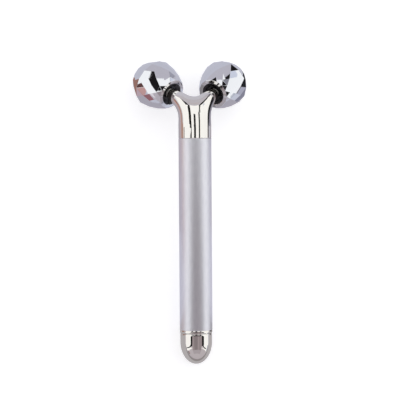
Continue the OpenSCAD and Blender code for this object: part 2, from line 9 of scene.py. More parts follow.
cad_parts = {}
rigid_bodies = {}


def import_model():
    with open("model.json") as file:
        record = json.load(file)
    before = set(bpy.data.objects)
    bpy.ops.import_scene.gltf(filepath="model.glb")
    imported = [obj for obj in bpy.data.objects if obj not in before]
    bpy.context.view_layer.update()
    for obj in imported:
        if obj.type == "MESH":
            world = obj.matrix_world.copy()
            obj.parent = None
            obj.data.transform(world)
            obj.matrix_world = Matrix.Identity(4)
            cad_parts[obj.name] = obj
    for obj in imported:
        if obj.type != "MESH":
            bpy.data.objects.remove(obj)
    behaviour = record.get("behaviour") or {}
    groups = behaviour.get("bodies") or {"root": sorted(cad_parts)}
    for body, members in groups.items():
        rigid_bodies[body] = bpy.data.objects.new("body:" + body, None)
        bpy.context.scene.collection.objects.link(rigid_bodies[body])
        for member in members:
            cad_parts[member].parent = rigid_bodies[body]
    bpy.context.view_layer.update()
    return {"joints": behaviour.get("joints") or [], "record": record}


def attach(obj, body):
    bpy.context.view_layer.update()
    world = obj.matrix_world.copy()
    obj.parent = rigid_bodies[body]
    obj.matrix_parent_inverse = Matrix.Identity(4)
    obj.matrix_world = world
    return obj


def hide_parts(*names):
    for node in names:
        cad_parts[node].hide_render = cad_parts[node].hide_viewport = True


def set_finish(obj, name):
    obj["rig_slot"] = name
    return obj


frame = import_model()

MM = 0.001
joints = {j["name"]: j for j in frame["joints"]}

# ---------------------------------------------------------------- frames
# The handle's own frame, as in part.scad: z up the handle from the fork's seam, y to the back, in mm.
up_handle = np.array(joints["motor_spin"]["axis"])
back_handle = np.cross(up_handle, (1.0, 0.0, 0.0))
MOTOR_PIVOT_Z = -5.0
seam = np.array(joints["motor_spin"]["pos_m"]) / MM - MOTOR_PIVOT_Z * up_handle
HANDLE = np.array([(1.0, 0.0, 0.0), back_handle, up_handle])


def to_row(points):
    """Points of the handle's frame, in mm, as points of the row frame, in metres."""
    return (np.asarray(points, float) @ HANDLE + seam) * MM


# a roller's frame: z from its centre to its hub
ROLLER_AT = np.array((17.8, 17.1, 28.2))
ARM_ELEVATION, ARM_AZIMUTH = 25.2, 51.5
ROLLER_POLAR, ROLLER_TURN = math.radians(90 + ARM_ELEVATION), math.radians(180 + ARM_AZIMUTH)
ROLLER_X = np.array((math.cos(ROLLER_POLAR) * math.cos(ROLLER_TURN), math.cos(ROLLER_POLAR) * math.sin(ROLLER_TURN),
                     -math.sin(ROLLER_POLAR)))
ROLLER_Y = np.array((-math.sin(ROLLER_TURN), math.cos(ROLLER_TURN), 0.0))
ROLLER_Z = np.cross(ROLLER_X, ROLLER_Y)
ROLLER_AXES = np.array([ROLLER_X, ROLLER_Y, ROLLER_Z])
RIM_H = 12.3
ARM_END = ROLLER_AT + RIM_H * ROLLER_Z


def roller_to_handle(points, side):
    """Points of a roller's frame in the handle's; side is 1 for the right roller and -1 for its mirror image."""
    return (np.asarray(points, float) @ ROLLER_AXES + ROLLER_AT) * (side, 1, 1)


# ---------------------------------------------------------------- camera
# Fitted to the photo, in the handle's frame, in mm and radians; the focal length is in pixels of the photo.
IMAGE_WIDTH, SENSOR_WIDTH = 400, 36.0
CAMERA_SIDE, CAMERA_DISTANCE, CAMERA_HEIGHT = 0.139542509, 820.0, 7.16518
CAMERA_TARGET = np.array((2.46198, 0.0, -32.0735))
CAMERA_ROLL, FOCAL_PX = -6.43969849e-03, 1583.236


def make_camera():
    eye = np.array((-CAMERA_DISTANCE * math.sin(CAMERA_SIDE), -CAMERA_DISTANCE * math.cos(CAMERA_SIDE), CAMERA_HEIGHT))
    ahead = (CAMERA_TARGET - eye) / np.linalg.norm(CAMERA_TARGET - eye)
    right = np.cross(ahead, (0, 0, 1))
    right /= np.linalg.norm(right)
    up = np.cross(right, ahead)
    c, s = math.cos(CAMERA_ROLL), math.sin(CAMERA_ROLL)
    axes = np.array([c * right + s * up, c * up - s * right, -ahead]) @ HANDLE
    data = bpy.data.cameras.new("camera")
    camera = bpy.data.objects.new("camera", data)
    bpy.context.scene.collection.objects.link(camera)
    camera.matrix_world = Matrix.Translation(Vector(to_row(eye))) @ Matrix(axes.T.tolist()).to_4x4()
    data.sensor_width = SENSOR_WIDTH
    data.lens = SENSOR_WIDTH * FOCAL_PX / IMAGE_WIDTH
    data.clip_start, data.clip_end = 0.02, 20.0
    bpy.context.scene.camera = camera


make_camera()


# ---------------------------------------------------------------- meshes
ON_AXIS = 1e-9


def add_piece(name, vertices, faces, body, replaced, slot):
    """A mesh piece from points in the row frame, in metres, that rides on a body in place of the nodes it replaces."""
    mesh = bpy.data.meshes.new(name)
    mesh.from_pydata([tuple(v) for v in vertices], [], [tuple(f) for f in faces])
    mesh.validate()
    mesh.update()
    for p in mesh.polygons:
        p.use_smooth = True
    piece = bpy.data.objects.new(name, mesh)
    bpy.context.scene.collection.objects.link(piece)
    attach(piece, body)
    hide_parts(*replaced)
    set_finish(piece, slot)
    return piece


def outward(piece):
    bm = bmesh.new()
    bm.from_mesh(piece.data)
    bmesh.ops.recalc_face_normals(bm, faces=bm.faces)
    bm.to_mesh(piece.data)
    bm.free()


def ring_faces(low, high):
    """Corners of the faces between two rings of points; a ring of one point is a pole."""
    count = max(len(low), len(high))
    for k in range(count if count > 1 else 0):
        n = (k + 1) % count
        if len(low) == 1:
            yield low[0], high[n], high[k]
        elif len(high) == 1:
            yield low[k], low[n], high[0]
        else:
            yield low[k], low[n], high[n], high[k]


def lathe(profile, sides):
    """Vertices and faces of a closed outline [(r, z), ...] turned about z; a point with r = 0 is a pole."""
    angles = np.arange(sides) * 2 * math.pi / sides
    vertices, rings = [], []
    for r, z in profile:
        if r < ON_AXIS:
            rings.append([len(vertices)])
            vertices.append((0.0, 0.0, z))
        else:
            rings.append(list(range(len(vertices), len(vertices) + sides)))
            vertices += [(r * math.cos(a), r * math.sin(a), z) for a in angles]
    pairs = zip(rings, rings[1:] + rings[:1])
    return np.array(vertices), [corners for low, high in pairs for corners in ring_faces(low, high)]


def rounded(outline, radii, steps=4):
    """A closed outline with its corners rounded; radii gives one radius per corner."""
    made = []
    count = len(outline)
    for i, (p, r) in enumerate(zip(outline, radii)):
        p = np.array(p, float)
        if r <= 0:
            made.append(tuple(p))
            continue
        a = np.array(outline[i - 1], float) - p
        b = np.array(outline[(i + 1) % count], float) - p
        la, lb = np.linalg.norm(a), np.linalg.norm(b)
        a, b = a / la, b / lb
        half = math.acos(max(-1, min(1, float(a @ b)))) / 2
        reach = min(r / math.tan(half), 0.49 * la, 0.49 * lb)
        r = reach * math.tan(half)
        centre = p + (a + b) / np.linalg.norm(a + b) * r / math.sin(half)
        start, end = p + a * reach - centre, p + b * reach - centre
        turn = math.atan2(start[0] * end[1] - start[1] * end[0], float(start @ end))
        for s in range(steps + 1):
            t = turn * s / steps
            made.append((
                centre[0] + start[0] * math.cos(t) - start[1] * math.sin(t),
                centre[1] + start[0] * math.sin(t) + start[1] * math.cos(t),
            ))
    return made


def segment_normals(profile, degrees=32):
    """Each segment's normal at its start and at its end; it turns smoothly into the next unless the corner is sharp."""
    points = np.array(profile, float)
    run = np.roll(points, -1, 0) - points
    length = np.hypot(run[:, 0], run[:, 1])
    normals = np.stack([run[:, 1], -run[:, 0]], 1) / length[:, None]
    starts, ends = normals.copy(), normals.copy()
    for i in range(len(points)):
        if normals[i - 1] @ normals[i] > math.cos(math.radians(degrees)):
            shared = normals[i - 1] * length[i - 1] + normals[i] * length[i]
            ends[i - 1] = starts[i] = shared / np.linalg.norm(shared)
    return starts, ends


def lathe_piece(name, profile, body, replaced, slot, sides=192, place=to_row):
    """A turned piece; place takes points of its own frame, in mm, to the row frame, in metres."""
    vertices, faces = lathe(profile, sides)
    piece = add_piece(name, place(vertices), faces, body, replaced, slot)
    outward(piece)
    starts, ends = segment_normals(profile)
    outline, radius = np.array(profile, float), np.hypot(vertices[:, 0], vertices[:, 1])
    off_r, off_z = radius[:, None] - outline[:, 0], vertices[:, 2, None] - outline[:, 1]
    point_of = np.argmin(np.hypot(off_r, off_z), 1)
    turn = (place(np.eye(3)) - place(np.zeros((1, 3)))) / MM
    corners = []
    for face in piece.data.polygons:
        ends_of = sorted({int(point_of[v]) for v in face.vertices})
        segment = ends_of[-1] if ends_of[0] == 0 and ends_of[-1] == len(profile) - 1 else ends_of[0]
        for v in face.vertices:
            n = starts[segment] if point_of[v] == segment else ends[segment]
            x, y = vertices[v][:2]
            r = math.hypot(x, y)
            normal = np.array((n[0] * x / r, n[0] * y / r, n[1]) if r > ON_AXIS else (0, 0, n[1])) @ turn
            corners.append(normal if normal @ np.array(face.normal) > 0 else -normal)
    piece.data.normals_split_custom_set([tuple(n / np.linalg.norm(n)) for n in corners])
    return piece


# ---------------------------------------------------------------- handle
TUBE_R, BORE_R, RABBET_R = 8.5, 7.7, 8.15
TUBE_L, RING_H, RING_LIP = 99.3, 1.7, 0.4
Z_TUBE_END, Z_RING_END = -(TUBE_L + RING_H - RING_LIP), -(TUBE_L + RING_H)
CAP_SEAM, CAP_R, CAP_STRAIGHT, CAP_NOSE, CAP_WALL = 0.2, 8.25, 4.7, 11.5, 1.2
Z_CAP_TOP = Z_RING_END - CAP_SEAM
Z_NOSE = Z_CAP_TOP - CAP_STRAIGHT
RING_FIT, RING_BORE_R = RABBET_R + 0.02, BORE_R + 0.1
# the radii at which the sides of the ring and of the cap's top bow, and the points along each
RING_BOW, RING_POINTS, CAP_BOW, CAP_POINTS = 3.5, 13, 6.5, 10
CAP_WIDEST = Z_CAP_TOP - 1.0

lathe_piece("handle_tube_shell", rounded(
    [(BORE_R, 0), (TUBE_R, 0), (TUBE_R, -TUBE_L), (RABBET_R, -TUBE_L), (RABBET_R, Z_TUBE_END), (BORE_R, Z_TUBE_END)],
    [0.12, 0.3, 0.1, 0, 0, 0]), "handle", ["handle_tube"], "satin_aluminium")


def bowed_side(r, start, end, widest, bow, count):
    """Outline points of a side that bows gently outwards, with its widest place at the height widest."""
    return [(r - (z - widest) ** 2 / (2 * bow), z) for z in np.linspace(start, end, count)]


def nose(r, length, count=40):
    return [(r * math.cos(a), Z_NOSE - length * math.sin(a)) for a in np.linspace(0, math.pi / 2, count)]


ring_side = bowed_side(TUBE_R, -TUBE_L, Z_RING_END, -TUBE_L - RING_H / 2, RING_BOW, RING_POINTS)
ring = lathe_piece("trim_ring_band", rounded(
    [(RING_FIT, -TUBE_L)] + ring_side + [(RING_BORE_R, Z_RING_END), (RING_BORE_R, Z_TUBE_END), (RING_FIT, Z_TUBE_END)],
    [0, 0.1] + [0] * (RING_POINTS - 2) + [0.1, 0.1, 0, 0]), "handle", ["trim_ring"], "polished_chrome")

cap_side = bowed_side(CAP_R, Z_CAP_TOP, CAP_WIDEST, CAP_WIDEST, CAP_BOW, CAP_POINTS)
cap_outline = rounded([(CAP_R - CAP_WALL, Z_CAP_TOP)] + cap_side + [(CAP_R, Z_NOSE)], [0, 0.12] + [0] * CAP_POINTS)[:-1]
cap_outline += nose(CAP_R, CAP_NOSE)[:-1] + [(0, Z_NOSE - CAP_NOSE)]
cap_outline += [(0, Z_NOSE - CAP_NOSE + CAP_WALL)] + nose(CAP_R - CAP_WALL, CAP_NOSE - CAP_WALL)[-2::-1]
cap = lathe_piece("end_cap_shell", cap_outline, "cap", ["end_cap"], "polished_chrome")

# ---------------------------------------------------------------- fork
# Each arm follows a bezier curve from the neck to its hub and grows thinner on the way.
NECK_TOP, NECK_FOOT = 6.0, np.array((0.0, 0.0, -3.0))
ARM_ROOT = np.array((0.0, 0.0, NECK_TOP))
ARM_BEND_LOW = np.array((0.75, 0.414, 13.543))
ARM_BEND_HIGH = ARM_END + 11.838 * ROLLER_Z
ARM_END_R, ARM_STEPS = 3.3, 44
TAPER_ALONG, TAPER_FALL = 1.315, 1.406
# the arms blend more the further they are from the neck, where they lie in each other
ARM_BLEND, BLEND_START, BLEND_RISE, NO_BLEND = 4.444, 7.849, 13.627, 1e-6
SPIGOT_R, SPIGOT_L, WELL_R, WELL_ROOF = 7.68, 8.0, 5.7, 2.0
NECK_EDGE, ARM_TIP_EDGE, EDGE_STEPS = 0.22, 0.3, 5
AXLE_HOLE_R, AXLE_HOLE_L = 1.52, 6.9
FORK_SIDES = 112


def arm_line():
    """Points of the right arm's centre line, from below the neck to the hub, and the radius at each."""
    t = np.linspace(0, 1, ARM_STEPS + 1)[:, None]
    line = ((1 - t) ** 3 * ARM_ROOT + 3 * (1 - t) ** 2 * t * ARM_BEND_LOW
            + 3 * (1 - t) * t * t * ARM_BEND_HIGH + t ** 3 * ARM_END)
    radii = ARM_END_R + (TUBE_R - ARM_END_R) * (1 - t[:, 0] ** TAPER_ALONG) ** TAPER_FALL
    return np.vstack([NECK_FOOT, line]), np.append(TUBE_R, radii)


ARM_LINE, ARM_RADII = arm_line()


def smooth_min(a, b, k):
    h = np.clip(0.5 + 0.5 * (b - a) / k, 0, 1)
    return b * (1 - h) + a * h - k * h * (1 - h)


def arm_distance(points):
    best = None
    for a, b, ra, rb in zip(ARM_LINE, ARM_LINE[1:], ARM_RADII, ARM_RADII[1:]):
        ba = b - a
        s = np.clip(((points - a) @ ba) / (ba @ ba), 0, 1)
        d = np.linalg.norm(points - a - s[:, None] * ba, axis=1) - (ra + (rb - ra) * s)
        best = d if best is None else np.minimum(best, d)
    return best


def fork_distance(points):
    rise = np.clip((points[:, 2] - BLEND_START) / BLEND_RISE, 0, 1)
    blend = NO_BLEND + ARM_BLEND * rise * rise * (3 - 2 * rise)
    return smooth_min(arm_distance(points), arm_distance(points * (-1, 1, 1)), blend)


CORNERS = np.array(((1, 1, 1), (1, -1, -1), (-1, 1, -1), (-1, -1, 1)))


def fork_gradient(points, step=0.02):
    """The surface's outward direction at each point, from its distance at four corners step away."""
    g = sum(fork_distance(points + step * c)[:, None] * c for c in CORNERS)
    return g / np.maximum(np.linalg.norm(g, axis=1), 1e-9)[:, None]


def draw_onto_fork(points, rounds=6, hold_x=False):
    points = np.array(points, float)
    for _ in range(rounds):
        g = fork_gradient(points)
        if hold_x:
            g[:, 0] = 0
        points = points - fork_distance(points)[:, None] * g
    return points


def circle_points(sides, u, v):
    angles = np.arange(sides) * 2 * math.pi / sides
    return np.cos(angles)[:, None] * u + np.sin(angles)[:, None] * v


def arm_rings(sides):
    """Rings of points round the right arm's centre line, and the last ring's unit circle."""
    line, radii = ARM_LINE[2:], ARM_RADII[2:]
    side_dir = np.array((1.0, 0.0, 0.0))
    rings = []
    for i, (centre, r) in enumerate(zip(line, radii)):
        ahead = line[min(i + 1, len(line) - 1)] - (line[i - 1] if i else ARM_ROOT)
        if i == len(line) - 1:
            ahead, centre = -ROLLER_Z, centre + ARM_TIP_EDGE * ROLLER_Z
        ahead = ahead / np.linalg.norm(ahead)
        side_dir = side_dir - ahead * (side_dir @ ahead)
        side_dir /= np.linalg.norm(side_dir)
        circle = circle_points(sides, side_dir, np.cross(ahead, side_dir))
        rings.append(centre + r * circle)
    return rings, circle


def fork_rings(sides):
    """Rings of points from the well in the spigot over the neck and the right arm into its axle hole."""
    circle = circle_points(sides, np.array((1.0, 0.0, 0.0)), np.array((0.0, 1.0, 0.0)))

    def level(r, z):
        return circle * r + (0, 0, z)

    quarter = np.linspace(0, math.pi / 2, EDGE_STEPS)
    rings = [np.array([(0.0, 0.0, WELL_ROOF)]), level(WELL_R, WELL_ROOF), level(WELL_R, -SPIGOT_L),
             level(SPIGOT_R, -SPIGOT_L), level(SPIGOT_R, 0)]
    for a in quarter:
        rings.append(level(TUBE_R - NECK_EDGE + NECK_EDGE * math.sin(a), NECK_EDGE - NECK_EDGE * math.cos(a)))
    first_drawn = len(rings)
    rings += [level(TUBE_R, z) for z in np.arange(1.0, NECK_TOP - 0.5, 0.6)]
    on_arm, circle = arm_rings(sides)
    rings += on_arm
    last_drawn = len(rings) - 1
    for a in quarter[1:]:
        rings.append(ARM_END + ROLLER_Z * ARM_TIP_EDGE * (1 - math.sin(a))
                     + circle * (ARM_END_R - ARM_TIP_EDGE * (1 - math.cos(a))))
    rings.append(ARM_END + circle * AXLE_HOLE_R)
    rings.append(ARM_END + ROLLER_Z * AXLE_HOLE_L + circle * AXLE_HOLE_R)
    rings.append(np.array([ARM_END + ROLLER_Z * AXLE_HOLE_L]))
    for i in range(first_drawn, last_drawn + 1):
        rings[i] = draw_onto_fork(rings[i])
    return rings, first_drawn, last_drawn


PLAIN, DRAWN = 0, 1


def everything(bm):
    return bm.verts[:] + bm.edges[:] + bm.faces[:]


def make_fork():
    """The right half of the fork, cut where the arms meet, and its mirror image."""
    rings, first_drawn, last_drawn = fork_rings(FORK_SIDES)
    bm = bmesh.new()
    made = [[bm.verts.new(p) for p in ring] for ring in rings]
    for i, (low, high) in enumerate(zip(made, made[1:])):
        for corners in ring_faces(low, high):
            bm.faces.new(corners).material_index = DRAWN if first_drawn - 1 <= i < last_drawn else PLAIN
    bmesh.ops.bisect_plane(bm, geom=everything(bm), dist=1e-5, plane_co=(0, 0, 0), plane_no=(1, 0, 0), clear_inner=True)
    on_plane = [w for w in bm.verts if abs(w.co.x) < 1e-4]
    for w in on_plane:
        w.co.x = 0
    free = [w for w in on_plane if all(f.material_index == DRAWN for f in w.link_faces)]
    for w, p in zip(free, draw_onto_fork([w.co for w in free], hold_x=True)):
        w.co = p
    twin = bmesh.ops.duplicate(bm, geom=everything(bm))["geom"]
    for w in twin:
        if isinstance(w, bmesh.types.BMVert):
            w.co.x = -w.co.x
    bmesh.ops.reverse_faces(bm, faces=[f for f in twin if isinstance(f, bmesh.types.BMFace)])
    bmesh.ops.remove_doubles(bm, verts=bm.verts, dist=1e-4)
    bmesh.ops.recalc_face_normals(bm, faces=bm.faces)
    vertices = np.array([w.co for w in bm.verts])
    gradient = fork_gradient(vertices, step=0.5)
    faces = [[w.index for w in f.verts] for f in bm.faces]
    normals = [gradient[w.index] if f.material_index == DRAWN else np.array(f.normal)
               for f in bm.faces for w in f.verts]
    bm.free()
    piece = add_piece("fork_arms", to_row(vertices), faces, "handle", ["fork_head"], "polished_chrome")
    piece.data.normals_split_custom_set([tuple(n) for n in np.array(normals) @ HANDLE])
    return piece


fork = make_fork()

# ---------------------------------------------------------------- rollers
FACETS = 15
STEP = 2 * math.pi / FACETS
ROLLER_R, ROLLER_WALL, RIM_R, RECESS_R = 12.75, 1.5, 8.0, 6.0
BELT_POLAR = 97
Z_PART = ROLLER_R * math.cos(math.radians(BELT_POLAR))
# the degrees by which the right and the left roller are turned, and how far a facet's normals lean to a sphere's
PHASES = {1: 5.3, -1: 5.1}
FACET_BOW, FACET_EDGE, SAME_FACET = 0.06, 0.11, 0.4
CIRCLE = 90
# marks for a shell's faces while it is made; its inside keeps 0
FACET, EDGE = 1, 2


def on_sphere(degrees, r):
    a = math.radians(degrees)
    return r * np.array((math.sin(a), math.cos(a)))


def chord_end(p, side):
    """The row point at which the kite from p through the side row ends on the roller's sphere."""
    q = side * (math.cos(STEP / 2), 1)
    v = q - p
    a, b, c = v @ v, p @ v, p @ p - ROLLER_R ** 2
    return p + v * (math.sqrt(b * b - a * c) - b) / a


belt = on_sphere(BELT_POLAR, ROLLER_R)
upper_side, lower_side = on_sphere(75, 0.963 * ROLLER_R), on_sphere(119, 0.946 * ROLLER_R)
shoulder, lower_ring = chord_end(belt, upper_side), chord_end(belt, lower_side)
crown, rim, tail = np.array((0.732, 0.8)) * ROLLER_R, np.array((RIM_R, RIM_H)), on_sphere(158, ROLLER_R)
# every second row is turned by half a step
ROWS = [(belt, 0), (upper_side, 0.5), (shoulder, 0), (crown, 0.5), (rim, 0),
        (lower_side, 0.5), (lower_ring, 0), (tail, 0.5)]


def ring_of(bm, r, z, count):
    angles = np.arange(count) * 2 * math.pi / count
    return [bm.verts.new((r * math.cos(a), r * math.sin(a), z)) for a in angles]


def boundary_loop(bm, test):
    """Boundary vertices in order of their angle about z."""
    found = {v for e in bm.edges if e.is_boundary for v in e.verts if test(v)}
    return sorted(found, key=lambda v: math.atan2(v.co.y, v.co.x) % (2 * math.pi))


def join_loops(bm, outer, inner):
    """Triangles between two loops of different counts, both in order of angle."""
    def angle(v, i, count):
        a = math.atan2(v.co.y, v.co.x) % (2 * math.pi)
        return a + 2 * math.pi * (i // count)
    i = j = 0
    n, m = len(outer), len(inner)
    while i < n or j < m:
        next_out = angle(outer[(i + 1) % n], i + 1, n)
        next_in = angle(inner[(j + 1) % m], j + 1, m)
        if j >= m or (i < n and next_out <= next_in):
            bm.faces.new((outer[i % n], outer[(i + 1) % n], inner[j % m]))
            i += 1
        else:
            bm.faces.new((outer[i % n], inner[(j + 1) % m], inner[j % m]))
            j += 1


def inside(p):
    return p * (1 - ROLLER_WALL / ROLLER_R) - (0.4, 0)


LEVEL = 0.999


def shell_normals(bm):
    """Each face's corner normals: facets are almost flat, thin edges turn from facet to facet, the inside is round."""
    bm.verts.index_update()
    bm.normal_update()
    at_vertex = []
    for v in bm.verts:
        facets = [f.normal for f in v.link_faces if f.material_index == FACET]
        edges = [f.normal * f.calc_area() for f in v.link_faces if f.material_index == EDGE]
        chosen = facets or edges
        at_vertex.append(sum(chosen, Vector()).normalized() if chosen else None)
    normals = []
    for f in bm.faces:
        if f.material_index == EDGE:
            normals.append([at_vertex[v.index] for v in f.verts])
        elif abs(f.normal.z) > LEVEL:
            normals.append([f.normal] * len(f.verts))
        elif f.material_index == FACET:
            normals.append([f.normal.lerp(v.co.normalized(), FACET_BOW).normalized() for v in f.verts])
        else:
            middle = f.calc_center_median()
            radial = (f.normal.x * middle.x + f.normal.y * middle.y) / math.hypot(middle.x, middle.y)
            round_it = [(v.co.x / math.hypot(v.co.x, v.co.y), v.co.y / math.hypot(v.co.x, v.co.y)) for v in f.verts]
            normals.append([Vector((radial * x, radial * y, f.normal.z)).normalized() for x, y in round_it])
    return normals


def steady(faces, normals):
    """Faces and their corner normals in an order that is the same in each run, which a hull's isn't."""
    ordered = []
    for face, at_corners in zip(faces, normals):
        first = face.index(min(face))
        ordered.append((face[first:] + face[:first], at_corners[first:] + at_corners[:first]))
    ordered.sort(key=lambda pair: pair[0])
    return [face for face, _ in ordered], [n for _, at_corners in ordered for n in at_corners]


def make_shell(side, front):
    """One faceted half of a roller, with its wall, cut at the belt."""
    bm = bmesh.new()
    for row, shift in ROWS:
        for k in range(FACETS):
            a = (k + shift) * STEP
            bm.verts.new((row[0] * math.cos(a), row[0] * math.sin(a), row[1]))
    hull = bmesh.ops.convex_hull(bm, input=bm.verts)
    bmesh.ops.delete(bm, geom=[g for g in hull["geom_interior"] if isinstance(g, bmesh.types.BMVert)], context="VERTS")
    bmesh.ops.dissolve_limit(bm, angle_limit=math.radians(SAME_FACET), verts=bm.verts, edges=bm.edges)
    for f in bm.faces:
        f.material_index = FACET
    bmesh.ops.bevel(bm, geom=bm.edges[:], offset=FACET_EDGE, offset_type="OFFSET", segments=2, profile=0.5,
                    affect="EDGES", clamp_overlap=True, material=EDGE)
    bmesh.ops.bisect_plane(bm, geom=everything(bm), dist=1e-5, plane_co=(0, 0, Z_PART), plane_no=(0, 0, 1),
                           clear_inner=front, clear_outer=not front)
    belt_in = belt[0] * math.cos(STEP / 2) - ROLLER_WALL
    at_belt = boundary_loop(bm, lambda v: True)
    if front:
        def on_top(v):
            return v.co.z > RIM_H - 0.01

        top = [f for f in bm.faces if all(on_top(v) for v in f.verts)]
        bmesh.ops.delete(bm, geom=top, context="FACES_ONLY")
        at_rim = boundary_loop(bm, on_top)
        profile = [(belt_in, Z_PART), (belt_in, Z_PART + 1.3), inside(upper_side), inside(shoulder),
                   (RIM_R - 0.4, RIM_H - ROLLER_WALL), (RECESS_R + 1.2, RIM_H - ROLLER_WALL), (RECESS_R + 1.2, 7.1),
                   (RECESS_R, 7.1), (RECESS_R, RIM_H - 0.2), (RECESS_R + 0.06, RIM_H - 0.06), (RECESS_R + 0.2, RIM_H)]
    else:
        profile = [(belt_in - 0.02, Z_PART), (belt_in - 0.02, Z_PART + 1.2), (belt_in - 1, Z_PART + 1.2),
                   (belt_in - 1, Z_PART), inside(lower_side), inside(lower_ring),
                   (tail[0] - 0.4, tail[1] + ROLLER_WALL)]
    rings = [ring_of(bm, r, z, CIRCLE) for r, z in profile]
    for low, high in zip(rings, rings[1:]):
        for corners in ring_faces(low, high):
            bm.faces.new(corners)
    join_loops(bm, at_belt, rings[0])
    if front:
        join_loops(bm, at_rim, rings[-1])
    else:
        bm.faces.new(rings[-1])
    bmesh.ops.recalc_face_normals(bm, faces=bm.faces)
    turn = np.array(Matrix.Rotation(math.radians(PHASES[side]), 3, "Z"))
    vertices = to_row(roller_to_handle([turn @ v.co for v in bm.verts], side))
    # a mirror image's faces run the other way round
    faces, normals = steady([[v.index for v in f.verts][::side] for f in bm.faces],
                            [at_corners[::side] for at_corners in shell_normals(bm)])
    normals = np.array([turn @ n for n in normals]) @ ROLLER_AXES * (side, 1, 1) @ HANDLE
    bm.free()
    word, half = "right" if side > 0 else "left", "front" if front else "back"
    node = f"{word}_roller_{half}"
    piece = add_piece(f"{node}_shell", vertices, faces, f"{word}_roller", [node], "polished_chrome")
    piece.data.normals_split_custom_set([tuple(n) for n in normals])


BUSH_R, BUSH_END, HUB_R, HUB_FLANGE = 2.45, 2.65, 3.67, 4.0
HUB_BORE_R, HUB_RIM_R = BUSH_R + 0.02, RECESS_R - 0.02
RECESS_DEPTH, RECESS_FLOOR_R = 1.5, 3.9
for side, word in ((1, "right"), (-1, "left")):
    for front in (True, False):
        make_shell(side, front)
    lathe_piece(f"{word}_hub_cup", rounded(
        [(HUB_BORE_R, BUSH_END), (HUB_R, BUSH_END), (HUB_R, RIM_H - HUB_FLANGE), (HUB_RIM_R, RIM_H - HUB_FLANGE),
         (HUB_RIM_R, RIM_H), (HUB_RIM_R - 0.4, RIM_H), (RECESS_FLOOR_R, RIM_H - RECESS_DEPTH),
         (HUB_BORE_R, RIM_H - RECESS_DEPTH)],
        [0, 0, 0.3, 0, 0.1, 0.15, 0.3, 0.1]), f"{word}_roller", [f"{word}_hub"], "black_hub", 96,
        lambda p, side=side: to_row(roller_to_handle(p, side)))

# ---------------------------------------------------------------- materials
HANDLE_TILT = math.atan2(up_handle[2], up_handle[1])
# the distance between a wave texture's bands at scale 1
WAVE_PITCH = 0.314


class Look:
    """A procedural material: its shader, and the noises that vary it, on the row's own coordinates in metres."""

    def __init__(self, name, colour, metallic=0.0, roughness=0.4, **sockets):
        self.material = bpy.data.materials.new(name)
        self.material.use_nodes = True
        self.nodes, self.links = self.material.node_tree.nodes, self.material.node_tree.links
        self.shader = self.nodes["Principled BSDF"]
        self.place = self.nodes.new("ShaderNodeTexCoord").outputs["Object"]
        self.height = None
        self.shader.inputs["Base Color"].default_value = (*colour, 1)
        self.shader.inputs["Metallic"].default_value = metallic
        self.shader.inputs["Roughness"].default_value = roughness
        for socket, value in sockets.items():
            self.shader.inputs[socket.replace("_", " ")].default_value = value

    def noise(self, size, detail=2.0, stretch=None):
        """Noise whose blobs are about size metres across; stretch draws them out along the handle."""
        place = self.place
        if stretch:
            turned = self.nodes.new("ShaderNodeMapping")
            turned.inputs["Rotation"].default_value = (-HANDLE_TILT, 0, 0)
            squeezed = self.nodes.new("ShaderNodeMapping")
            squeezed.inputs["Scale"].default_value = (1, 1 / stretch, 1)
            self.links.new(place, turned.inputs["Vector"])
            self.links.new(turned.outputs["Vector"], squeezed.inputs["Vector"])
            place = squeezed.outputs["Vector"]
        node = self.nodes.new("ShaderNodeTexNoise")
        node.inputs["Scale"].default_value = 1 / size
        node.inputs["Detail"].default_value = detail
        self.links.new(place, node.inputs["Vector"])
        return node.outputs["Fac"]

    def bands(self, size, distort=0.0):
        """Bands of the given size in metres, one after the other along the handle."""
        node = self.nodes.new("ShaderNodeTexWave")
        node.bands_direction = "Y"
        node.inputs["Scale"].default_value = WAVE_PITCH / size
        node.inputs["Distortion"].default_value = distort
        self.links.new(self.place, node.inputs["Vector"])
        return node.outputs["Fac"]

    def span(self, value, low, high, start=0.3, end=0.7):
        node = self.nodes.new("ShaderNodeMapRange")
        for socket, number in (("From Min", start), ("From Max", end), ("To Min", low), ("To Max", high)):
            node.inputs[socket].default_value = number
        self.links.new(value, node.inputs["Value"])
        return node.outputs["Result"]

    def tint(self, value, first, second, start=0.3, end=0.7):
        """The base colour runs from first to second with a value."""
        node = self.nodes.new("ShaderNodeValToRGB")
        ends = node.color_ramp.elements
        ends[0].position, ends[1].position = start, end
        ends[0].color, ends[1].color = (*first, 1), (*second, 1)
        self.links.new(value, node.inputs["Fac"])
        self.links.new(node.outputs["Color"], self.shader.inputs["Base Color"])
        return self

    def rough(self, value, low, high, start=0.3, end=0.7):
        self.links.new(self.span(value, low, high, start, end), self.shader.inputs["Roughness"])
        return self

    def drawn(self, amount):
        """The finish runs along the handle, so reflections blur more across it."""
        node = self.nodes.new("ShaderNodeTangent")
        node.direction_type, node.axis = "RADIAL", "Y"
        self.links.new(node.outputs["Tangent"], self.shader.inputs["Tangent"])
        self.shader.inputs["Anisotropic"].default_value = amount

    def bump(self, value, depth, strength=1.0):
        """Relief of the given depth in metres, on top of any added before."""
        node = self.nodes.new("ShaderNodeBump")
        node.inputs["Strength"].default_value = strength
        node.inputs["Distance"].default_value = depth
        self.links.new(value, node.inputs["Height"])
        if self.height:
            self.links.new(self.height, node.inputs["Normal"])
        self.height = node.outputs["Normal"]
        self.links.new(self.height, self.shader.inputs["Normal"])
        return self

looks = {}

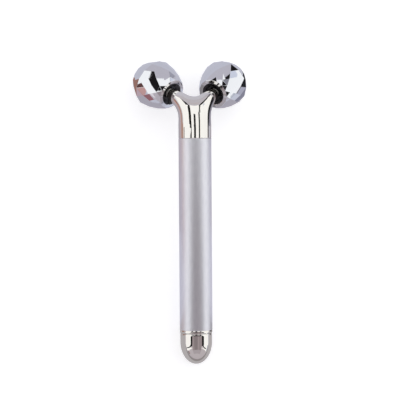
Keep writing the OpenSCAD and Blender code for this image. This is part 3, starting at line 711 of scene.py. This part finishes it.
for name, dim, bright in (("polished_chrome", (0.835, 0.840, 0.860), (0.870, 0.875, 0.895)),
                          ("warm_chrome", (0.890, 0.850, 0.795), (0.930, 0.895, 0.840))):
    look = looks[name] = Look(name, bright, metallic=1.0)
    smudge = look.noise(0.011, detail=5)
    look.tint(smudge, dim, bright).rough(smudge, 0.018, 0.055, 0.35, 0.8)
    look.bump(look.noise(0.0065, detail=1), 0.00001, 0.3).bump(look.noise(0.0004, stretch=6), 0.0000004, 0.5)

look = looks["satin_aluminium"] = Look("satin_aluminium", (0.66, 0.65, 0.70), metallic=1.0)
grain = look.noise(0.00022, detail=3)
look.tint(look.noise(0.0009, detail=4, stretch=5), (0.86, 0.85, 0.90), (0.92, 0.91, 0.95)).rough(grain, 0.36, 0.44)
look.drawn(0.6)
look.bump(grain, 0.000012, 0.35).bump(look.noise(0.00012, stretch=30), 0.000003, 0.4)

look = looks["black_hub"] = Look("black_hub", (0.012, 0.012, 0.014), Coat_Weight=0.12, Coat_Roughness=0.06)
look.tint(look.noise(0.002, detail=4), (0.004, 0.004, 0.005), (0.009, 0.009, 0.011))
look.rough(look.noise(0.0008, detail=3), 0.14, 0.28)
look.bump(look.noise(0.0005, detail=3), 0.000006, 0.3)

look = looks["steel"] = Look("steel", (0.56, 0.56, 0.57), metallic=1.0)
look.tint(look.noise(0.003, detail=5), (0.50, 0.50, 0.51), (0.62, 0.62, 0.63))
look.rough(look.noise(0.0006, detail=4, stretch=4), 0.20, 0.38)
look.bump(look.noise(0.0002, detail=3, stretch=8), 0.000004, 0.5)

look = looks["brass"] = Look("brass", (0.72, 0.52, 0.23), metallic=1.0)
look.tint(look.noise(0.002, detail=5), (0.60, 0.42, 0.17), (0.80, 0.59, 0.28))
look.rough(look.noise(0.0006, detail=4), 0.18, 0.36)
look.bump(look.noise(0.0003, detail=3), 0.000005, 0.4)

look = looks["plug_aluminium"] = Look("plug_aluminium", (0.70, 0.70, 0.71), metallic=1.0)
look.tint(look.noise(0.002, detail=4), (0.62, 0.62, 0.63), (0.74, 0.74, 0.75))
look.rough(look.noise(0.0004, detail=3), 0.22, 0.40)
look.bump(look.bands(0.00018), 0.000006, 0.4)

look = looks["copper"] = Look("copper", (0.72, 0.36, 0.20), metallic=1.0)
look.tint(look.noise(0.0007, detail=3), (0.50, 0.20, 0.10), (0.80, 0.42, 0.25))
look.rough(look.noise(0.0005), 0.22, 0.36)
look.bump(look.bands(0.0003), 0.00006, 0.8)

look = looks["magnet"] = Look("magnet", (0.05, 0.05, 0.055))
look.tint(look.noise(0.0006, detail=6), (0.035, 0.035, 0.038), (0.075, 0.073, 0.075))
look.rough(look.noise(0.001, detail=4), 0.45, 0.65)
look.bump(look.noise(0.0002, detail=4), 0.00001, 0.6)

look = looks["seal_rubber"] = Look("seal_rubber", (0.02, 0.02, 0.02), Sheen_Weight=0.15)
look.tint(look.noise(0.001, detail=4), (0.014, 0.014, 0.014), (0.032, 0.032, 0.033))
look.rough(look.noise(0.0006, detail=3), 0.55, 0.75)
look.bump(look.noise(0.00015, detail=3), 0.000008, 0.5)

look = looks["dark_plastic"] = Look("dark_plastic", (0.03, 0.033, 0.036))
look.tint(look.noise(0.0015, detail=4), (0.022, 0.025, 0.028), (0.042, 0.046, 0.050))
look.rough(look.noise(0.0007, detail=3), 0.35, 0.52)
look.bump(look.noise(0.0002, detail=3), 0.00001, 0.5)

look = looks["pale_plastic"] = Look("pale_plastic", (0.72, 0.70, 0.63), Subsurface_Weight=0.1)
look.shader.inputs["Subsurface Radius"].default_value = (0.001, 0.0009, 0.0007)
look.tint(look.noise(0.002, detail=4), (0.66, 0.64, 0.57), (0.76, 0.74, 0.67))
look.rough(look.noise(0.0008, detail=3), 0.34, 0.50)
look.bump(look.noise(0.0003, detail=3), 0.00001, 0.4)

look = looks["card_liner"] = Look("card_liner", (0.42, 0.34, 0.22))
fibres = look.noise(0.0005, detail=6, stretch=7)
look.tint(fibres, (0.33, 0.25, 0.15), (0.50, 0.41, 0.28)).rough(fibres, 0.68, 0.85)
look.bump(fibres, 0.00003, 0.6)

look = looks["cell_jacket"] = Look("cell_jacket", (0.06, 0.10, 0.16), Coat_Weight=0.4, Coat_Roughness=0.12)
look.tint(look.bands(0.009, 0.4), (0.035, 0.060, 0.105), (0.10, 0.16, 0.24), 0.44, 0.56)
look.rough(look.noise(0.001, detail=3), 0.22, 0.34)
look.bump(look.noise(0.0012, detail=3, stretch=12), 0.00002, 0.3)

for name, dark, light in (("red_insulation", (0.38, 0.015, 0.012), (0.55, 0.035, 0.025)),
                          ("black_insulation", (0.012, 0.012, 0.013), (0.030, 0.030, 0.032))):
    look = looks[name] = Look(name, light)
    look.tint(look.noise(0.0012, detail=4), dark, light).rough(look.noise(0.0006, detail=3), 0.32, 0.46)
    look.bump(look.noise(0.0004, detail=2), 0.00001, 0.4)

# a piece has its record's material, and the fork, ring and cap a warmer chrome than the rollers, as in the photo
SLOT_OF = {part["node"]: part["material_slot"] for part in frame["record"]["subparts"]}
for piece in list(bpy.context.scene.objects):
    if piece.type != "MESH":
        continue
    slot = piece.get("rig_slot") or SLOT_OF[piece.name]
    piece.data.materials.clear()
    piece.data.materials.append(looks["warm_chrome" if piece in (fork, ring, cap) else slot].material)

# ---------------------------------------------------------------- studio
# A tent of panels round the object. The camera doesn't see them, but the polished metal does. Turns run about Y from
# left to right, with 0 overhead. Slopes lean to -Y, the cap's end, and to +Y. Both are in degrees.
TABLE_Z = -0.00005
TENT_CENTRE = np.array((0.0, 0.045, 0.015))
TENT_R = 0.75
FRAME_R, PATCH_R, SCREEN_R, CARD_R, FLAG_R, BACKDROP_R = TENT_R * np.array((1.06, 0.99, 0.98, 0.97, 0.965, 1.4))
APEX = 2.2
SOFTBOX, SOFTBOX_STRENGTH = (0.97, 0.985, 1.0), 1.04
FRONT_GREY, REAR_GREY = (0.525, 0.51, 0.575), (0.49, 0.455, 0.50)
DARK, BAR = (0.012, 0.011, 0.012), (0.085, 0.07, 0.075)
SCREEN_TINT = np.array((1.04, 0.90, 0.97))
# the slopes at which the neck ends and the cap begins, as the camera sees them in the metal
AT_NECK, AT_CAP = -11.5, -21.3


def glow(name, colour, strength):
    material = bpy.data.materials.new(name)
    material.use_nodes = True
    nodes, links = material.node_tree.nodes, material.node_tree.links
    nodes.clear()
    light = nodes.new("ShaderNodeEmission")
    light.inputs["Color"].default_value = (*colour, 1)
    light.inputs["Strength"].default_value = strength
    links.new(light.outputs["Emission"], nodes.new("ShaderNodeOutputMaterial").inputs["Surface"])
    return material


def panel(name, points, faces, colour, strength=1.0, lights=False):
    """A lit or dark panel that reflections show and the camera doesn't; it lights matt things only with lights."""
    mesh = bpy.data.meshes.new(name)
    mesh.from_pydata([tuple(p) for p in points], [], faces)
    mesh.materials.append(glow(name, colour, strength))
    thing = bpy.data.objects.new(name, mesh)
    bpy.context.scene.collection.objects.link(thing)
    thing.visible_camera = thing.visible_shadow = False
    thing.visible_diffuse = lights


def on_tent(turn, slope, r):
    t, s = math.radians(turn), math.radians(slope)
    return TENT_CENTRE + r * np.array((math.sin(t), math.tan(s), math.cos(t)))


def ribbon(name, edge, other, colour, strength=1.0, lights=False, r=FLAG_R):
    """A panel of the tent between two edges, each a list of points as turn and slope."""
    points = [on_tent(*point, r) for pair in zip(edge, other) for point in pair]
    faces = [(2 * i - 2, 2 * i - 1, 2 * i + 1, 2 * i) for i in range(1, len(edge))]
    panel(name, points, faces, colour, strength, lights)


def tent(name, turns, slopes, colour, strength=1.0, lights=False, r=SCREEN_R, steps=24):
    """A panel of the tent between two turns and two slopes."""
    low, high = [[(t, s) for t in np.linspace(*turns, steps + 1)] for s in slopes]
    ribbon(name, low, high, colour, strength, lights, r)


def backdrop(name, slope, colour, steps=32):
    """The tent's end: a fan from a slope round to its apex straight along Y."""
    points = [TENT_CENTRE + (0, math.copysign(APEX, slope) * BACKDROP_R, 0)]
    points += [on_tent(turn, slope, BACKDROP_R) for turn in np.linspace(-110, 110, steps + 1)]
    panel(name, points, [(0, i, i + 1) for i in range(1, steps + 1)], colour, lights=True)


# softboxes at both sides and over the object, with narrow dark gaps between them
for name, turns, slopes in (
    ("left_softbox_rear", (-93, -50), (-37, AT_CAP)),
    ("left_softbox_handle", (-93, -29.5), (AT_CAP, AT_NECK)),
    ("left_softbox_neck", (-93, -41.5), (AT_NECK, 3)),
    ("left_softbox_front", (-93, -46), (3, 37)),
    ("left_softbox_edge", (-93, -42.5), (37, 43.5)),
    ("right_softbox_rear", (52, 91), (-37, AT_CAP)),
    ("right_softbox_handle", (28, 91), (AT_CAP, AT_NECK)),
    ("right_softbox_front", (29, 91), (AT_NECK, 37)),
    ("top_panel_left", (-30, -13.5), (AT_NECK, 5)),
    ("top_panel_left_front", (-30, -12.4), (5, 48.5)),
    ("top_panel_middle", (-13.5, 0), (19, 48.5)),
    ("top_panel_right", (0, 20), (AT_NECK, 22)),
    ("top_panel_right_front", (0, 31), (22, 48.5)),
):
    tent(name, turns, slopes, SOFTBOX, SOFTBOX_STRENGTH, True, TENT_R)
for name, edge, other in (
    ("left_softbox_tip", ((-44, 43.4), (-53, 43.4), (-60, 43.4), (-72, 43.4), (-86, 43.4)),
     ((-44, 44.0), (-53, 46.5), (-60, 50.0), (-72, 53.0), (-86, 44.0))),
    ("right_softbox_tip", ((28.5, 37), (46, 37), (61, 37), (76, 37), (88, 37)),
     ((35, 46), (46, 47), (61, 50), (76, 54), (88, 55.6))),
):
    ribbon(name, edge, other, SOFTBOX, SOFTBOX_STRENGTH, True, TENT_R)
tent("left_neck_patch", (-41.5, -34), (-10.05, -9.4), SOFTBOX, SOFTBOX_STRENGTH, r=PATCH_R)
tent("right_softbox_edge", (54, 63), (37, 44), (0.66, 0.70, 0.82), r=PATCH_R)
tent("dark_frame", (-62, 60), (-31, 44), DARK, r=FRAME_R)
tent("handle_bar", (-29, 28), (AT_CAP, AT_NECK), BAR)
# screens behind the cap's end, which fill the keyhole in the cap
for i, (turns, shade) in enumerate((((-41, -24), 0.31), ((-24, 3), 0.235), ((3, 12), 0.34), ((12, 36), 0.29))):
    tent(f"rear_screen_{i}", turns, (-45, AT_CAP), shade * SCREEN_TINT)
tent("rear_screen_low", (-41, 36), (-66, -45), (0.40, 0.366, 0.405), lights=True)
# dark flags: the posts and shoulders of the keyhole, the gap beside the top panel, and the softboxes' front edges
for name, edge, other in (
    ("left_post",
     ((-44, -17.5), (-50, -21.3), (-51, -24), (-55, -26.5), (-60, -28.5), (-68, -29.5), (-80, -28.5), (-93, -27.5)),
     ((-33, -19.5), (-37, -21.3), (-39, -25), (-46, -28.5), (-50, -31), (-57, -33), (-70, -32.5), (-93, -29))),
    ("right_post",
     ((44, -17.5), (52, -21.3), (52, -25), (52.3, -28.5), (53, -30.2), (59, -31.2), (66, -31.8), (78, -32)),
     ((32, -19.5), (34, -21.3), (37, -25), (42, -29), (47, -32.5), (57, -34.5), (68, -35.5), (78, -33.5))),
    ("left_shoulder", ((-44, -17.5), (-36, -14.5), (-28, -13.0)), ((-33, -19.5), (-30, -18.5), (-28, -18.0))),
    ("right_shoulder", ((44, -17.5), (36, -14.5), (27, -13.0)), ((32, -19.5), (30, -18.5), (27, -18.0))),
    ("right_gap", ((20, 21), (24, 25), (26.5, 30), (29.5, 40), (31, 46.5)),
     ((28.7, 21), (30.5, 26), (33.4, 30), (36.8, 40), (42, 46.5))),
    ("left_front_edge",
     ((-29, 44), (-40, 43.6), (-46, 43.5), (-48, 41.5), (-53, 38.5), (-60, 44.5), (-64, 50.5), (-72, 52.3)),
     ((-29, 45.5), (-36, 46.2), (-40, 49.5), (-48, 53), (-53, 53.8), (-60, 54.2), (-64, 54), (-72, 53.6))),
    ("right_front_edge",
     ((31, 44), (40, 44.3), (46, 44.8), (53, 45.8), (61, 47), (71, 50), (76, 52.5), (82, 54), (93, 54)),
     ((31, 46.8), (34, 47.8), (40, 50.5), (46, 52.3), (53, 53.5), (62, 55.2), (71, 57.5), (82, 62.5), (93, 65))),
):
    ribbon(name, edge, other, DARK)
# small flags and cards, each for one reflection
for name, turns, slopes, colour in (
    ("left_low_flag", (-97, -83), (-50, -37), (0.25, 0.24, 0.25)),
    ("left_brown_card", (-91.5, -85.5), (-8, -1.9), (0.12, 0.058, 0.056)),
    ("left_mauve_flag", (-83, -77), (-50, -39.5), (0.40, 0.26, 0.28)),
    ("left_grey_strip", (-42.4, -41.0), (-8.8, -5), (0.19, 0.185, 0.23)),
    ("middle_grey_strip", (-14.6, -13.4), (-4, 1), (0.27, 0.265, 0.28)),
    ("right_grey_strip", (31, 34.6), (22, 29), (0.27, 0.27, 0.31)),
    ("left_rear_corner", (-76, -69.5), (-41, -37), (0.80, 0.75, 0.80)),
    ("left_bell_foot", (-51, -40), (-37.5, -31), (0.62, 0.58, 0.62)),
    ("right_bell_foot", (35, 53), (-37.5, -31), (0.62, 0.58, 0.62)),
    ("right_low_card", (84.5, 91), (-37, -22), (0.48, 0.51, 0.59)),
    ("right_front_card", (80, 90), (50, 60), (0.30, 0.30, 0.36)),
):
    tent(name, turns, slopes, colour, r=CARD_R)
ribbon("saddle_sheet", ((-40, 57), (0, 57), (40, 57)), ((-40, 84), (0, 84), (40, 84)), (0.52, 0.467, 0.50))
backdrop("front_backdrop", 37, FRONT_GREY)
backdrop("rear_backdrop", -37, REAR_GREY)

# coloured sheets on the table beside the object, seen only in its metal, the first of them a darker sheet of painted
# shade round the neck; later ones lie on top
FIRST_SHEET_Z, SHEET_STEP = 0.0001, 0.00002
for i, (name, colour, corners) in enumerate((
    # painted shade: the table darker round the neck, where the object shades it, as the metal shows it
    ("shade_sheet", (0.43, 0.41, 0.47), ((-0.044, -0.01), (0.053, -0.01), (0.053, 0.060), (-0.044, 0.060))),
    ("cap_sheet", (0.46, 0.45, 0.48), ((-0.14, -0.108), (0.14, -0.108), (0.14, -0.058), (-0.14, -0.058))),
    ("cap_far_sheet", (0.29, 0.27, 0.29), ((-0.30, -1.5), (0.30, -1.5), (0.30, -0.108), (-0.30, -0.108))),
    ("white_sheet", (0.95, 0.95, 0.95), ((-0.236, 0.012), (-0.236, 0.16), (-0.75, 0.30), (-0.75, 0.012))),
    ("rose_sheet", (0.57, 0.34, 0.33), ((-0.20, -0.03), (-0.20, 0.012), (-1.5, 0.012), (-1.5, -0.60))),
    ("plum_sheet", (0.31, 0.14, 0.16), ((-0.070, -0.03), (-0.070, 0.020), (-0.20, 0.020), (-0.20, -0.03))),
    ("brown_sheet", (0.44, 0.29, 0.25), ((-0.062, 0.020), (-0.062, 0.061), (-0.236, 0.061), (-0.236, 0.020))),
    ("pink_sheet", (0.51, 0.39, 0.44), ((-0.044, 0.030), (-0.044, 0.060), (-0.062, 0.061), (-0.062, 0.030))),
    ("brown_strip", (0.33, 0.18, 0.15),
     ((-0.029, 0.061), (-0.033, 0.0745), (-0.050, 0.078), (-0.13, 0.10), (-0.13, 0.061))),
    ("pale_sheet", (0.60, 0.62, 0.72), ((0.053, 0.0), (0.076, 0.0), (0.076, 0.060), (0.053, 0.060))),
    ("mid_sheet", (0.44, 0.44, 0.54), ((0.076, 0.02), (0.100, 0.02), (0.100, 0.060), (0.076, 0.060))),
    ("dark_sheet", (0.20, 0.19, 0.21), ((0.100, 0.02), (0.75, -0.05), (0.75, 0.25), (0.100, 0.066))),
    ("far_sheet", (0.36, 0.36, 0.43), ((0.15, 0.33), (0.5, 0.42), (1.5, 1.0), (1.5, 1.5), (0.15, 1.5))),
    ("black_wing", (0.02, 0.02, 0.025),
     ((0.1, 0.067), (0.15, 0.078), (0.27, 0.105), (0.5, 0.17), (1.5, 0.45), (1.5, 0.95), (0.5, 0.35), (0.1, 0.12))),
    ("grey_sheet", (0.26, 0.26, 0.33), ((0.034, 0.049), (0.080, 0.050), (0.080, 0.067), (0.034, 0.067))),
    ("black_strip", (0.02, 0.02, 0.025),
     ((0.030, 0.067), (0.085, 0.060), (0.3, 0.056), (0.3, 0.12), (0.030, 0.0785))),
    ("rim_sheet", (0.30, 0.295, 0.33), ((0.085, -0.022), (0.085, 0.013), (0.13, 0.013), (0.13, -0.022))),
    ("rim_dark_sheet", (0.07, 0.07, 0.085), ((0.0975, -0.003), (0.0975, 0.0075), (0.107, 0.0075), (0.107, -0.003))),
    ("brown_spot", (0.33, 0.20, 0.16), ((-0.026, -0.065), (-0.026, -0.058), (-0.09, -0.050), (-0.09, -0.061))),
    ("dark_spot", (0.03, 0.03, 0.03), ((0.022, -0.065), (0.022, -0.060), (0.07, -0.054), (0.07, -0.061))),
)):
    points = [(x, y, FIRST_SHEET_Z + i * SHEET_STEP) for x, y in corners]
    panel(name, points, [tuple(range(len(points)))], colour)


TABLE_SIDE, TABLE_LIFT = 1.6, 0.5
TABLE_COLOUR, TABLE_IN_METAL = (0.80, 0.80, 0.80), (0.56, 0.565, 0.65)


def table():
    """The floor: white to the camera, with the object's soft shadow, and in the metal as grey as the photo shows it."""
    mesh = bpy.data.meshes.new("table")
    corners = [(x * TABLE_SIDE, y * TABLE_SIDE, TABLE_Z) for x, y in ((-1, -1), (1, -1), (1, 1), (-1, 1))]
    mesh.from_pydata(corners, [], [(0, 1, 2, 3)])
    material = bpy.data.materials.new("table")
    material.use_nodes = True
    nodes, links = material.node_tree.nodes, material.node_tree.links
    shader = nodes["Principled BSDF"]
    shader.inputs["Roughness"].default_value = 0.9
    shader.inputs["Specular IOR Level"].default_value = 0.0
    shader.inputs["Base Color"].default_value = (*TABLE_COLOUR, 1)
    path = nodes.new("ShaderNodeLightPath")
    seen = nodes.new("ShaderNodeMapRange")
    seen.inputs["To Max"].default_value = TABLE_LIFT
    links.new(path.outputs["Is Camera Ray"], seen.inputs["Value"])
    lift = nodes.new("ShaderNodeEmission")
    links.new(seen.outputs["Result"], lift.inputs["Strength"])
    both = nodes.new("ShaderNodeAddShader")
    links.new(shader.outputs["BSDF"], both.inputs[0])
    links.new(lift.outputs["Emission"], both.inputs[1])
    pale = nodes.new("ShaderNodeEmission")
    pale.inputs["Color"].default_value = (*TABLE_IN_METAL, 1)
    mirror = nodes.new("ShaderNodeMixShader")
    links.new(path.outputs["Is Glossy Ray"], mirror.inputs["Fac"])
    links.new(both.outputs["Shader"], mirror.inputs[1])
    links.new(pale.outputs["Emission"], mirror.inputs[2])
    links.new(mirror.outputs["Shader"], nodes["Material Output"].inputs["Surface"])
    mesh.materials.append(material)
    thing = bpy.data.objects.new("table", mesh)
    bpy.context.scene.collection.objects.link(thing)


table()


ROOM_GREY = (0.5, 0.49, 0.52)


def make_world():
    """White behind everything that the camera or the metal sees, and a plain grey light on the object."""
    world = bpy.data.worlds.new("studio")
    bpy.context.scene.world = world
    world.use_nodes = True
    nodes, links = world.node_tree.nodes, world.node_tree.links
    room = nodes["Background"]
    room.inputs["Color"].default_value = (*ROOM_GREY, 1)
    white = nodes.new("ShaderNodeBackground")
    white.inputs["Color"].default_value = (1, 1, 1, 1)
    path = nodes.new("ShaderNodeLightPath")
    straight, seen = nodes.new("ShaderNodeMath"), nodes.new("ShaderNodeMath")
    straight.operation = seen.operation = "MAXIMUM"
    links.new(path.outputs["Is Camera Ray"], straight.inputs[0])
    links.new(path.outputs["Is Transmission Ray"], straight.inputs[1])
    links.new(straight.outputs["Value"], seen.inputs[0])
    links.new(path.outputs["Is Glossy Ray"], seen.inputs[1])
    mixed = nodes.new("ShaderNodeMixShader")
    links.new(seen.outputs["Value"], mixed.inputs["Fac"])
    links.new(room.outputs["Background"], mixed.inputs[1])
    links.new(white.outputs["Background"], mixed.inputs[2])
    links.new(mixed.outputs["Shader"], nodes["World Output"].inputs["Surface"])


make_world()
bpy.context.scene.view_settings.view_transform = "Standard"
